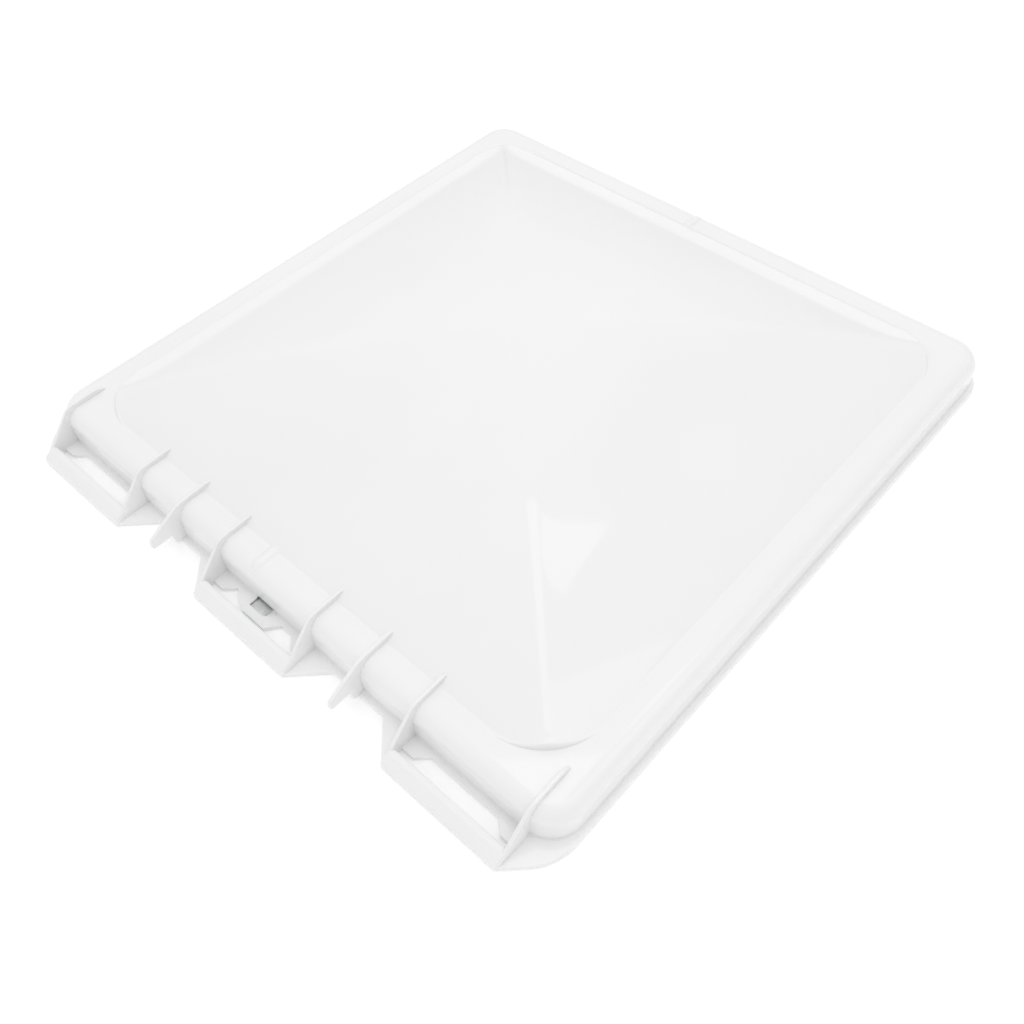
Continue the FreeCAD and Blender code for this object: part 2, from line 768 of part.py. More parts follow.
def shoe_pin():
    """The steel pin that the lift arm's fork turns on."""
    body = new_body("pin")
    sketch = new_sketch(body, "pin_section", "XZ_Plane")
    draw_outline(sketch, pin_outline())
    revolve(body, sketch, "X_Axis")
    slot = new_sketch(body, "head_slot", "YZ_Plane", "-pin_reach")
    draw_outline(slot, rectangle("drive_slot_width / 2", "pin_head_radius + overlap"))
    add_pocket(body, slot, "drive_slot_depth", back=True)
    return on_pin_axis("pin", body)


def pin_clip():
    """The open spring clip in the pin's groove."""
    body = new_body("clip")
    middle = "pin_reach - groove_inset - groove_width / 2"
    ring = new_sketch(body, "clip_ring", "YZ_Plane", middle)
    draw_circle(ring, "0", "0", "clip_radius")
    draw_circle(ring, "0", "0", "pin_radius - groove_depth + clip_gap")
    add_pad(body, ring, "clip_thickness", symmetric=True)
    mouth = new_sketch(body, "clip_opening", "YZ_Plane", middle)
    draw_outline(mouth, block("-clip_mouth / 2", "clip_mouth / 2", "-(clip_radius + overlap)", "0"))
    add_pocket(body, mouth, "2 * clip_thickness", symmetric=True)
    return on_pin_axis("clip", body)


def rail_stops():
    """Nylon plugs in the channel's two ends, which stop the shoe."""
    wide = "(channel_width / 2 - strip_thickness - stop_gap)"
    low = "%s + strip_thickness + stop_gap" % LIP_LEVEL
    high = "%s - strip_thickness - stop_gap" % CEILING
    plugs = []
    ends = (("hinge_stop", "-(%s + stop_length)" % CHANNEL_START),
            ("front_stop", "-(%s + channel_length)" % CHANNEL_START))
    for name, offset in ends:
        body = new_body(name)
        sketch = new_sketch(body, name + "_section", "XZ_Plane", offset)
        draw_outline(sketch, shifted(block("-" + wide, wide, low, high), "rail_offset"))
        add_pad(body, sketch, "stop_length")
        plugs.append(body)
    return compound("stops", plugs)


def weather_seal():
    """The foam seal round the underside of the rim, cut back over the strip and its screws."""
    body = new_body("seal")
    outer = "(%s - seal_gap)" % INNER_WALL
    inner = "(%s - seal_width)" % outer
    ring = new_sketch(body, "seal_outline", "XY_Plane", CEILING)
    draw_outline(ring, rectangle(outer, outer))
    add_pad(body, ring, "seal_thickness", back=True)
    round_edges(body, "seal_corners", "seal_corner", is_upright)
    middle = new_sketch(body, "seal_opening", "XY_Plane", CEILING)
    draw_outline(middle, rectangle(inner, inner))
    add_pocket(body, middle, "seal_thickness")
    half = "(strip_width / 2 + seal_relief)"
    left, right = "rail_offset - " + half, "rail_offset + " + half
    for name, sign in SCREW_ENDS:
        near, far = "%s(%s - overlap)" % (sign, inner), "%s(%s + overlap)" % (sign, outer)
        strip = new_sketch(body, name + "_strip_relief", "XY_Plane", CEILING)
        draw_outline(strip, block(left, right, near, far))
        add_pocket(body, strip, "strip_thickness + seal_relief")
        screw = new_sketch(body, name + "_screw_relief", "XY_Plane", CEILING)
        draw_circle(screw, "rail_offset", "%s(%s)" % (sign, SCREW_REACH), "washer_radius + seal_relief")
        add_pocket(body, screw, "strip_thickness + washer_thickness + screw_head_height + seal_relief")
    return body


def publish(name, piece):
    """Label a finished piece and place it from the middle of the walls to the lid's own origin."""
    node = compound(name, [piece])
    node.Label = name
    drive(node, "Placement.Base.y", "(tab_reach - flange_overhang) / 2")
    return node


NODES = {
    "lid_shell": lid_shell,
    "lift_rail": lift_rail,
    "rail_screws": rail_screws,
    "rail_washers": rail_washers,
    "rail_stops": rail_stops,
    "lift_shoe": lift_shoe,
    "shoe_pin": shoe_pin,
    "pin_clip": pin_clip,
    "weather_seal": weather_seal,
}


def main():
    nodes = [publish(name, make()) for name, make in NODES.items()]
    doc.recompute()
    for thing in doc.Objects:
        if "Invalid" in thing.State or "Error" in thing.State:
            raise RuntimeError("%s did not build: %s" % (thing.Name, thing.State))
    os.makedirs("parts", exist_ok=True)
    for node in nodes:
        shape = node.Shape
        if shape.isNull() or not shape.isValid() or not shape.Solids:
            raise RuntimeError(node.Label + " is not a sound solid")
        shape.exportStep("parts/%s.step" % node.Label)
        box = shape.BoundBox
        print("%-13s %d solid(s), %.0f cubic mm, x %.1f to %.1f, y %.1f to %.1f, z %.1f to %.1f" % (
            node.Label, len(shape.Solids), shape.Volume,
            box.XMin, box.XMax, box.YMin, box.YMax, box.ZMin, box.ZMax))


main()
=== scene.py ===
import math
import bmesh
import bpy
from mathutils import Matrix, Vector


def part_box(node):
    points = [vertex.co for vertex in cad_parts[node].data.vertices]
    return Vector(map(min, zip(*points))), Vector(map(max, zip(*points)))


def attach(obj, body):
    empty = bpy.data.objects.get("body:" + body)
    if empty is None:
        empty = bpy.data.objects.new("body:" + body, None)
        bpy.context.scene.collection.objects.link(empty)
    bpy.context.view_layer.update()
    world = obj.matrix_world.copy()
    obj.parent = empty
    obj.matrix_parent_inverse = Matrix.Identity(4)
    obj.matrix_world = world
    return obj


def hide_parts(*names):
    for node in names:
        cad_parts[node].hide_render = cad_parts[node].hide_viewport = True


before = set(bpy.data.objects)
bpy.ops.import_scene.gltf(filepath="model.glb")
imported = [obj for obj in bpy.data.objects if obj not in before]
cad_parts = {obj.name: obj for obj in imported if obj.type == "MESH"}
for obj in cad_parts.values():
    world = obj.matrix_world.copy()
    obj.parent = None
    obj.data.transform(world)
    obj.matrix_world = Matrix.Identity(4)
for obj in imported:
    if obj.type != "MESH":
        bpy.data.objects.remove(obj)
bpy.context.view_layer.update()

MM = 0.001

# Sizes of the lid, in millimetres, drawn about the middle of its upright walls.
lid_low, lid_high = (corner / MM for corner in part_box("lid_shell"))
rail_low, rail_high = (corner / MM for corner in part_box("lift_rail"))
FLANGE_HALF = lid_high.x
WALL_MIDDLE = lid_high.y - FLANGE_HALF
TAB_EDGE = lid_low.y - WALL_MIDDLE
TOP = lid_high.z
OVERHANG = 3.2                      # flange past the wall
WALL_HALF = FLANGE_HALF - OVERHANG
WALL_CORNER = 18.5
HINGE = -WALL_HALF                  # the wall the tabs stand out from
RIM = 24.0                          # height of the flat rim
SHOULDER = 9.0
THICK = 2.5
CROWN_HALF = 175.5
CROWN_CORNER = 36.5
RIDGE_SOFT = 1.7                    # rounding of the crown's four ridges
STEP_RUN = 2.0                      # width of the rounded step at the crown's corners
UNDER_STEP = 1.0                    # width of the step under the crown's edge
HINGE_CORNER = 11.0                 # how far back the flange's hinge corners are rounded
CREASE = 0.8                        # fillet between wall and flange
WALL_FOOT = 1.5                     # where the wall ends inside the flange
BURIED = 0.4                        # how far one part runs inside the next
GUARD = 0.3                         # flat border that keeps a bend's shading off the rim

# Hinge tabs, windows, gussets and fins.
PITCH = (FLANGE_HALF - 19.2) / 5    # half the length of a tab
SLOPE = -FLANGE_HALF - TAB_EDGE     # run of a tab's slanted side
CORNER_START = (FLANGE_HALF, TAB_EDGE + FLANGE_HALF - 5 * PITCH)
WINDOW = HINGE - 3.3
WINDOW_HALF = 21.2
EAR = HINGE - 9.0
EAR_HALF = 27.4
TONGUE = HINGE - 10.6
TONGUE_LEFT, TONGUE_RIGHT = -9.0, 8.0
TONGUE_FLANK = 5.6                  # run of its slanted right side
KNEE = HINGE - 7.9
KNEE_RUN = 6.8                      # run of its slanted left side, as far as the knee
BAR_INNER = TAB_EDGE + 8.6
BAR_HEIGHT = 8.0
BAR_LIP = 3.4
BAR_ARRIS = (0.8, 0.6)              # how the top's inner edge is taken off, outwards and down
BAR_BROW = (3.4, 0.7)               # where the top turns down, outwards and down
BAR_CHEEK = (2.4, 1.9)              # foot of the slope, in from the edge and over the lip
BAR_NOSE = (0.5, 0.5)               # top of the rounded lip, in from the edge and over the lip
BAR_DROP = 0.3                      # the lip's outer edge, under the lip
RIB_THICK = 2.0
RIB_FOOT = 0.1
RIB_INBOARD = HINGE + 28
RIB_ROOT = 1.0                      # how deep gussets and fins stand in the wall and rim
CREST = RIM + 3.2                   # top of the gussets and fins over the rim
CREST_END = 0.2                     # its height over the rim at the inner end
CREST_SLOPE = 5.0                   # run from there to its full height
CREST_CORNER = (2.5, 0.6)           # where it turns down: in from the wall, under its full height
CREST_BEND = 3.0                    # length taken off at each of its bends
GUSSET_TOE = HINGE - 14.4           # where a gusset's top edge comes down to the bar
GUSSET_OVER = 0.4                   # its height over the bar there
GUSSET_END = (0.3, 0.4)             # its far end: in from the tab's edge, under the bar's lip
FIN_THICK = 2.2
FIN_REACH = HINGE - 19.5
FIN_UNDER = 9.0
FIN_TIP = 5.6                       # depth of its tip
TIP_BENDS = (2.4, 1.5)              # length taken off the tip's upper and lower corner
HEEL = HINGE - 7.6
HEEL_TAPER = 0.8

# The slot for the rail's foot and the two screw pads.
SLOT_LEFT, SLOT_RIGHT = -9.0, 7.0
SLOT_EDGE = HINGE - 5.7
SLOT_ROOT = HINGE - 0.6
SLOT_TOP = 4.2
RAIL_X = (rail_low.x + rail_high.x) / 2
FOOT_HALF = 11.3                    # room under the tongue for the rail's foot
FOOT_EDGE = rail_low.y - WALL_MIDDLE - 0.3
FOOT_TOP = 1.6
PAD_X = RAIL_X - 1.0
PAD_HALF = 3.3
PAD_NEAR, PAD_FAR = 3.5, 20.5       # wall to the pads' two ends
PAD_RISE = 1.2
PAD_SINK = 0.03                     # the pads' borders lie just inside the rim
PAD_DEPTH = 1.0
PAD_ENDS = 6                        # the higher, the shorter the slopes at a pad's ends
PAD_CELLS = (20, 32)

# How much the edges of the plate, the ribs and the bars are rounded.
PLATE_ROUND = 0.3
RIB_ROUND = 0.45
BAR_ROUND = 0.35

GRID = 160                          # cells along one side of the crown
BEND_START = 0.8                    # share of a side before its corner arc begins
ARC_STEPS = 10

# The floor, in metres, and the light it gives by itself.
FLOOR_HALF = 4.0
FLOOR_GAP = 0.0002                  # left under the flange
FLOOR_GLOW = 0.16

# Brightness of the room, where 1 is white.
ROOM_TOP = 0.97
ROOM_BACK = 0.78
ROOM_FRONT = 0.62
BACKDROP = Vector((-0.95, -0.31, 0))        # the room's brightest side
HALO = 0.22                                 # added round one direction, high behind the lid
HALO_MIDDLE = Vector((-0.516, 0.547, 0.659))
HALO_EDGE = 0.85                            # cosine of the angle where it has faded out


# ---- shared modelling steps -------------------------------------------------------------

def make_piece(name, bm, material, sharp=40):
    """Turn a mesh drawn in millimetres about the walls' middle into a piece of the lid."""
    bmesh.ops.translate(bm, vec=(0, WALL_MIDDLE, 0), verts=bm.verts)
    bmesh.ops.scale(bm, vec=(MM, MM, MM), verts=bm.verts)
    for face in bm.faces:
        face.smooth = True
    for edge in bm.edges:
        edge.smooth = len(edge.link_faces) == 2 and edge.calc_face_angle() < math.radians(sharp)
    mesh = bpy.data.meshes.new(name)
    bm.to_mesh(mesh)
    bm.free()
    mesh.materials.append(material)
    piece = bpy.data.objects.new(name, mesh)
    bpy.context.scene.collection.objects.link(piece)
    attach(piece, "lid")
    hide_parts("lid_shell")
    return piece


def weigh_normals(piece):
    """Keep broad flat faces flat beside their narrow rounded edges."""
    modifier = piece.modifiers.new("flat faces", "WEIGHTED_NORMAL")
    modifier.keep_sharp = True
    modifier.weight = 80


def soften(bm, width, segments=2, angle=30):
    """Round every edge sharper than an angle."""
    edges = [
        edge for edge in bm.edges
        if len(edge.link_faces) == 2 and edge.calc_face_angle() > math.radians(angle)
    ]
    bmesh.ops.bevel(
        bm, geom=edges, offset=width, offset_type="OFFSET", segments=segments, profile=0.5,
        affect="EDGES", clamp_overlap=True, material=-1)


def round_corner(bm, vert, offset, segments=6):
    """Turn one corner of a flat outline into an arc."""
    bmesh.ops.bevel(
        bm, geom=[vert], offset=offset, offset_type="OFFSET", segments=segments, profile=0.5,
        affect="VERTICES", material=-1)


def outline_face(bm, corners):
    """One flat face through corners given as (x, y) or (x, y, z)."""
    return bm.faces.new([bm.verts.new(Vector(corner).to_3d()) for corner in corners])


def extrude(bm, vector):
    """Give a flat mesh a depth; it comes out closed with its faces outwards."""
    grown = bmesh.ops.extrude_face_region(bm, geom=list(bm.faces), use_keep_orig=True)
    moved = [item for item in grown["geom"] if isinstance(item, bmesh.types.BMVert)]
    bmesh.ops.translate(bm, vec=vector, verts=moved)
    bmesh.ops.recalc_face_normals(bm, faces=bm.faces)


def block(corners, half_height):
    """An upright block from its plan, as far below the flange's underside as above it."""
    bm = bmesh.new()
    outline_face(bm, corners)
    extrude(bm, (0, 0, 2 * half_height))
    bmesh.ops.translate(bm, vec=(0, 0, -half_height), verts=bm.verts)
    return bm


def side_slab(corners, x, thickness, arcs):
    """An upright slab across X from its side outline, with some corners turned into arcs."""
    bm = bmesh.new()
    face = outline_face(bm, [(x - thickness / 2, y, z) for y, z in corners])
    verts = list(face.verts)
    for index, offset in arcs:
        round_corner(bm, verts[index], offset)
    extrude(bm, (thickness, 0, 0))
    soften(bm, RIB_ROUND)
    return bm


def mirrored(corners):
    """The same corners on the other side of the middle, in the opposite order."""
    return [(-x, y) for x, y in reversed(corners)]


def join(target, source):
    """Add one mesh to another."""
    mesh = bpy.data.meshes.new("join")
    source.to_mesh(mesh)
    source.free()
    target.from_mesh(mesh)
    bpy.data.meshes.remove(mesh)


def carve(bm, tool):
    """Cut one closed mesh out of another and return what is left."""
    things = []
    for source in (bm, tool):
        mesh = bpy.data.meshes.new("carve")
        source.to_mesh(mesh)
        source.free()
        thing = bpy.data.objects.new("carve", mesh)
        bpy.context.scene.collection.objects.link(thing)
        things.append(thing)
    modifier = things[0].modifiers.new("carve", "BOOLEAN")
    modifier.operation = "DIFFERENCE"
    modifier.solver = "EXACT"
    modifier.object = things[1]
    left = bmesh.new()
    left.from_mesh(things[0].evaluated_get(bpy.context.evaluated_depsgraph_get()).to_mesh())
    for thing in things:
        mesh = thing.data
        bpy.data.objects.remove(thing)
        bpy.data.meshes.remove(mesh)
    return left


# ---- the lid's crown, rim and walls -----------------------------------------------------

def on_outline(u, v, half, corner):
    """Where a point on the edge of a unit square goes on a round-cornered square."""
    reach = max(abs(u), abs(v))
    if reach == 0:
        return 0.0, 0.0
    share = min(abs(u), abs(v)) / reach
    straight = half - corner
    if share <= BEND_START:
        along, across = straight * share / BEND_START, half
    else:
        turn = (share - BEND_START) / (1 - BEND_START) * math.pi / 4
        along, across = straight + corner * math.sin(turn), straight + corner * math.cos(turn)
    x, y = (across, along) if abs(u) >= abs(v) else (along, across)
    return math.copysign(x, u), math.copysign(y, v)


def crown_height(x, y):
    """Height of the crown: four curved sides that meet in soft ridges."""
    a, b = abs(x), abs(y)
    reach = (a + b) / 2 + math.hypot((a - b) / 2, RIDGE_SOFT)
    return RIM + (TOP - RIM) * (1 - (reach / CROWN_HALF) ** 2)


def crown_edge(u, v):
    """Height of the crown at its own outline."""
    return max(RIM, crown_height(*on_outline(u, v, CROWN_HALF, CROWN_CORNER)))


def crown_grid(half, corner, drop):
    """A square grid bent to the crown's outline and height, which remembers its unit places."""
    bm = bmesh.new()
    across, along = bm.verts.layers.float.new("across"), bm.verts.layers.float.new("along")
    bmesh.ops.create_grid(bm, x_segments=GRID, y_segments=GRID, size=1.0)
    scale = CROWN_HALF / half
    for vert in bm.verts:
        u, v = vert.co.x, vert.co.y
        vert[across], vert[along] = u, v
        reach = max(abs(u), abs(v))
        x, y = on_outline(u, v, half * reach, corner * reach)
        vert.co = (x, y, crown_height(x * scale, y * scale) - drop)
    return bm


def add_ring(bm, half, corner, height):
    """Carry the open edge on to the next outline, at a height worked out at each unit place."""
    across, along = bm.verts.layers.float["across"], bm.verts.layers.float["along"]
    rim = [edge for edge in bm.edges if edge.is_boundary]
    grown = bmesh.ops.extrude_edge_only(bm, edges=rim)["geom"]
    for vert in grown:
        if isinstance(vert, bmesh.types.BMVert):
            u, v = vert[across], vert[along]
            vert.co = (*on_outline(u, v, half, corner), height(u, v))


def add_level_ring(bm, out, height):
    """Carry the open edge on to a level ring this far outside the wall's face."""
    add_ring(bm, WALL_HALF + out, WALL_CORNER + out, lambda u, v: height)


def add_shoulder(bm, radius, turns):
    """Carry the open edge round the shoulder at a radius about its own centre line."""
    for turn in turns:
        out = radius * math.sin(turn) - SHOULDER
        add_level_ring(bm, out, RIM - SHOULDER + radius * math.cos(turn))


def slot_outline(inside):
    """Plan of the slot from the tongue to a line inside the wall."""
    slant = SLOT_ROOT - SLOT_EDGE
    return [(SLOT_LEFT, inside), (SLOT_LEFT, SLOT_EDGE), (SLOT_RIGHT - slant, SLOT_EDGE),
            (SLOT_RIGHT, SLOT_ROOT), (SLOT_RIGHT, inside)]


def slot_cutter():
    """What the slot takes from the foot of the hinge wall."""
    return block(slot_outline(HINGE + 2 * THICK), SLOT_TOP)


def foot_cutter():
    """Room under the tongue and through the wall for the foot of the rail."""
    left, right = RAIL_X - FOOT_HALF, RAIL_X + FOOT_HALF
    inside = HINGE + 2 * THICK
    corners = [(left, FOOT_EDGE), (right, FOOT_EDGE), (right, inside), (left, inside)]
    return block(corners, FOOT_TOP)


def lid_skin(material):
    """Crown, step, rim, shoulder and walls, outside and inside."""
    bm = crown_grid(CROWN_HALF, CROWN_CORNER, 0)
    turns = [math.pi / 2 * step / ARC_STEPS for step in range(ARC_STEPS + 1)]
    for turn in turns[1:]:
        out = STEP_RUN * math.sin(turn)
        share = math.cos(turn)
        add_ring(bm, CROWN_HALF + out, CROWN_CORNER + out,
                 lambda u, v: RIM + (crown_edge(u, v) - RIM) * share)
    add_ring(bm, CROWN_HALF + STEP_RUN + GUARD, CROWN_CORNER + STEP_RUN + GUARD, lambda u, v: RIM)
    add_level_ring(bm, -SHOULDER - GUARD, RIM)
    add_shoulder(bm, SHOULDER, turns)
    for share in (1.0, 0.3, 0.0):
        add_level_ring(bm, CREASE * (1 - share), THICK + CREASE * share ** 2)
    add_level_ring(bm, CREASE, WALL_FOOT)
    add_level_ring(bm, -THICK, WALL_FOOT)
    add_shoulder(bm, SHOULDER - THICK, reversed(turns))
    lower = CROWN_HALF - THICK
    below = crown_grid(lower, CROWN_CORNER - THICK, THICK)
    add_ring(below, lower + UNDER_STEP, CROWN_CORNER - THICK + UNDER_STEP, lambda u, v: RIM - THICK)
    bmesh.ops.reverse_faces(below, faces=below.faces)
    join(bm, below)
    bmesh.ops.bridge_loops(bm, edges=[edge for edge in bm.edges if edge.is_boundary])
    bmesh.ops.remove_doubles(bm, verts=bm.verts, dist=0.002)
    bmesh.ops.dissolve_degenerate(bm, dist=0.001, edges=bm.edges)
    bmesh.ops.recalc_face_normals(bm, faces=bm.faces)
    bm = carve(bm, slot_cutter())
    piece = make_piece("lid_skin", bm, material, sharp=50)
    weigh_normals(piece)
    return piece


# ---- flange, tabs and their windows -----------------------------------------------------

def flange_outline():
    """The flange's outline with its three tabs, which run in under their bars."""
    tip, edge = TAB_EDGE + BURIED, -FLANGE_HALF
    right = [
        (PITCH + BURIED, tip), (PITCH + SLOPE, edge), (3 * PITCH - SLOPE, edge),
        (3 * PITCH - BURIED, tip), (5 * PITCH + BURIED, tip),
        CORNER_START, (FLANGE_HALF, FLANGE_HALF),
    ]
    return right + mirrored(right)


def ear_outline():
    """One side of a window: its end by the gusset and the ear cut back into the flange."""
    end, bar_side = PITCH - RIB_THICK / 2 + BURIED, BAR_INNER - BURIED
    return [(end, bar_side), (end, EAR), (EAR_HALF, EAR), (WINDOW_HALF, WINDOW)]


def middle_window():
    """The middle window's outline, with the tongue that fills most of it."""
    tongue = [(TONGUE_RIGHT + TONGUE_FLANK, WINDOW), (TONGUE_RIGHT, TONGUE),
              (TONGUE_LEFT, TONGUE), (TONGUE_LEFT - KNEE_RUN, KNEE)]
    return ear_outline() + tongue + mirrored(ear_outline())


def fill_outlines(outlines, arcs):
    """A flat mesh between an outer outline and the holes in it, with some corners rounded."""
    bm = bmesh.new()
    for outline in outlines:
        outline_face(bm, outline)
    for spot, offset in arcs:
        vert = min(bm.verts, key=lambda vert: (vert.co.xy - Vector(spot)).length)
        round_corner(bm, vert, offset, ARC_STEPS)
    bmesh.ops.delete(bm, geom=list(bm.faces), context="FACES_ONLY")
    bmesh.ops.triangle_fill(bm, use_beauty=True, edges=bm.edges)
    return bm


def flange(material):
    """The flange plate all round, with the three tabs and the middle tab's tongue."""
    opening = WALL_HALF - THICK + BURIED
    inside = [(opening, -opening), (opening, opening)]
    window = ear_outline() + mirrored(ear_outline())
    holes = [slot_outline(-opening) + inside + mirrored(inside), middle_window()]
    holes += [[(x + place * PITCH, y) for x, y in window] for place in (-4, 4)]
    arcs = []
    for side in (-1, 1):
        arcs.append(((side * FLANGE_HALF, FLANGE_HALF), WALL_CORNER + OVERHANG))
        arcs.append(((side * FLANGE_HALF, CORNER_START[1]), HINGE_CORNER))
        arcs += [((side * opening, end * opening), WALL_CORNER - THICK) for end in (-1, 1)]
    bm = fill_outlines([flange_outline()] + holes, arcs)
    extrude(bm, (0, 0, THICK))
    soften(bm, PLATE_ROUND)
    bm = carve(bm, foot_cutter())
    piece = make_piece("flange_and_tabs", bm, material)
    weigh_normals(piece)
    return piece


def bar(middle):
    """The wedge bar along a tab's outer edge."""
    profile = [
        (BAR_INNER, RIB_FOOT),
        (BAR_INNER, BAR_HEIGHT - BAR_ARRIS[1]),
        (BAR_INNER - BAR_ARRIS[0], BAR_HEIGHT),
        (BAR_INNER - BAR_BROW[0], BAR_HEIGHT - BAR_BROW[1]),
        (TAB_EDGE + BAR_CHEEK[0], BAR_LIP + BAR_CHEEK[1]),
        (TAB_EDGE + BAR_NOSE[0], BAR_LIP + BAR_NOSE[1]),
        (TAB_EDGE, BAR_LIP - BAR_DROP),
        (TAB_EDGE, RIB_FOOT),
    ]
    half = PITCH + RIB_THICK / 4
    bm = bmesh.new()
    outline_face(bm, [(middle - half, y, z) for y, z in profile])
    extrude(bm, (2 * half, 0, 0))
    soften(bm, BAR_ROUND, angle=20)
    return bm


def crest():
    """Side view of the top of a gusset or fin, from its inner end to where it turns down."""
    inward, fall = CREST_CORNER
    return [(RIB_INBOARD, RIM - RIB_ROOT), (RIB_INBOARD, RIM + CREST_END),
            (RIB_INBOARD - CREST_SLOPE, CREST), (HINGE + inward, CREST - fall)]


def buried_root():
    """Side view of the part of a gusset or fin inside the wall and shoulder."""
    return [(HINGE + RIB_ROOT, RIB_FOOT), (HINGE + SHOULDER, RIM - RIB_ROOT)]


def gusset(x, reaches_edge):
    """A gusset over the rim and down to the bar, or on to the corner of the tab."""
    foot = [(GUSSET_TOE, BAR_HEIGHT + GUSSET_OVER)]
    if reaches_edge:
        end = TAB_EDGE + GUSSET_END[0]
        foot += [(end, BAR_LIP - GUSSET_END[1]), (end, RIB_FOOT)]
    else:
        foot += [(GUSSET_TOE, RIB_FOOT)]
    arcs = ((2, CREST_BEND), (3, CREST_BEND))
    return side_slab(crest() + foot + buried_root(), x, RIB_THICK, arcs)


def fin(x):
    """A fin over the rim with a free rounded tip and a heel down to the flange."""
    tip = [(FIN_REACH, FIN_UNDER + FIN_TIP), (FIN_REACH, FIN_UNDER)]
    heel = [(HEEL, FIN_UNDER), (HEEL + HEEL_TAPER, THICK - BURIED),
            (-FLANGE_HALF + HEEL_TAPER, RIB_FOOT)]
    arcs = ((2, CREST_BEND), (3, CREST_BEND), (4, TIP_BENDS[0]), (5, TIP_BENDS[1]))
    return side_slab(crest() + tip + heel + buried_root(), x, FIN_THICK, arcs)


def hinge_parts(material):
    """Bars, gussets and fins."""
    bm = bmesh.new()
    for tab in (-4, 0, 4):
        join(bm, bar(tab * PITCH))
        join(bm, gusset((tab - 1) * PITCH, False))
        join(bm, gusset((tab + 1) * PITCH, True))
    for place in (-2, 2):
        join(bm, fin(place * PITCH))
    piece = make_piece("hinge_ribs", bm, material, sharp=50)
    weigh_normals(piece)
    return piece


def rim_height(inboard):
    """Height of the rim or shoulder at a distance in from the wall."""
    into = max(0.0, SHOULDER - inboard)
    return RIM - SHOULDER + math.sqrt(SHOULDER ** 2 - into ** 2)


def screw_pads(material):
    """The two low soft pads on the rim over the rail's screws."""
    bm = bmesh.new()
    for sign in (-1, 1):
        pad = bmesh.new()
        bmesh.ops.create_grid(pad, x_segments=PAD_CELLS[0], y_segments=PAD_CELLS[1], size=1.0)
        for vert in pad.verts:
            across, along = vert.co.x, vert.co.y
            inboard = PAD_NEAR + (PAD_FAR - PAD_NEAR) * (along + 1) / 2
            rise = PAD_RISE * math.cos(math.pi / 2 * across) * (1 - along ** PAD_ENDS)
            place = (PAD_X + PAD_HALF * across, sign * (WALL_HALF - inboard))
            vert.co = (*place, rim_height(inboard) + rise - PAD_SINK)
        extrude(pad, (0, 0, -PAD_DEPTH))
        join(bm, pad)
    return make_piece("screw_pads", bm, material, sharp=60)


# ---- finishes ---------------------------------------------------------------------------

def new_material(name, colour, roughness):
    """A principled material and its shader."""
    material = bpy.data.materials.new(name)
    material.use_nodes = True
    shader = material.node_tree.nodes["Principled BSDF"]
    shader.inputs["Base Color"].default_value = (*colour, 1)
    shader.inputs["Roughness"].default_value = roughness
    return material, shader


def add_node(owner, kind, **values):
    """A node of a material or the world, with some of its inputs set."""
    node = owner.node_tree.nodes.new(kind)
    for key, value in values.items():
        node.inputs[key].default_value = value
    return node


def noise(material, scale, detail=3.0):
    """Fine noise over the piece's own coordinates."""
    place = add_node(material, "ShaderNodeTexCoord")
    texture = add_node(material, "ShaderNodeTexNoise", Scale=scale, Detail=detail)
    material.node_tree.links.new(place.outputs["Object"], texture.inputs["Vector"])
    return texture


def spread(material, texture, low, high, target):
    """Send a noise to a shader's input between two values."""
    span = add_node(material, "ShaderNodeMapRange")
    span.inputs["To Min"].default_value = low
    span.inputs["To Max"].default_value = high
    material.node_tree.links.new(texture.outputs["Fac"], span.inputs["Value"])
    material.node_tree.links.new(span.outputs["Result"], target)


def add_bump(material, shader, texture, strength, distance):
    """Let a noise raise the surface a little."""
    bump = add_node(material, "ShaderNodeBump", Strength=strength, Distance=distance)
    material.node_tree.links.new(texture.outputs["Fac"], bump.inputs["Height"])
    material.node_tree.links.new(bump.outputs["Normal"], shader.inputs["Normal"])


def tint(material, shader, pattern, dark, light, stops=(0.3, 0.7)):
    """Vary a shader's colour between two colours as a pattern rises from one stop to the other."""
    ramp = add_node(material, "ShaderNodeValToRGB")
    for element, stop, colour in zip(ramp.color_ramp.elements, stops, (dark, light)):
        element.position = stop
        element.color = (*colour, 1)
    material.node_tree.links.new(pattern, ramp.inputs["Fac"])
    material.node_tree.links.new(ramp.outputs["Color"], shader.inputs["Base Color"])


def white_polypropylene():
    """Glossy white moulded plastic with a faint cloudiness."""
    material, shader = new_material("white polypropylene", (0.90, 0.90, 0.90), 0.12)
    broad = noise(material, 14.0)
    tint(material, shader, broad.outputs["Fac"], (0.893, 0.893, 0.894), (0.907, 0.907, 0.907))
    fine = noise(material, 160.0)
    spread(material, fine, 0.03, 0.06, shader.inputs["Roughness"])
    add_bump(material, shader, noise(material, 420.0), 0.01, 0.0001)
    return material


def galvanised_sheet():
    """Zinc-coated sheet with its spangle."""
    material, shader = new_material("galvanised sheet", (0.45, 0.46, 0.47), 0.4)
    shader.inputs["Metallic"].default_value = 1.0
    place = add_node(material, "ShaderNodeTexCoord")
    spangle = add_node(material, "ShaderNodeTexVoronoi", Scale=260.0)
    material.node_tree.links.new(place.outputs["Object"], spangle.inputs["Vector"])
    pattern = spangle.outputs["Color"]
    tint(material, shader, pattern, (0.62, 0.625, 0.63), (0.74, 0.745, 0.75), stops=(0.0, 1.0))
    spread(material, noise(material, 300.0), 0.32, 0.5, shader.inputs["Roughness"])
    return material


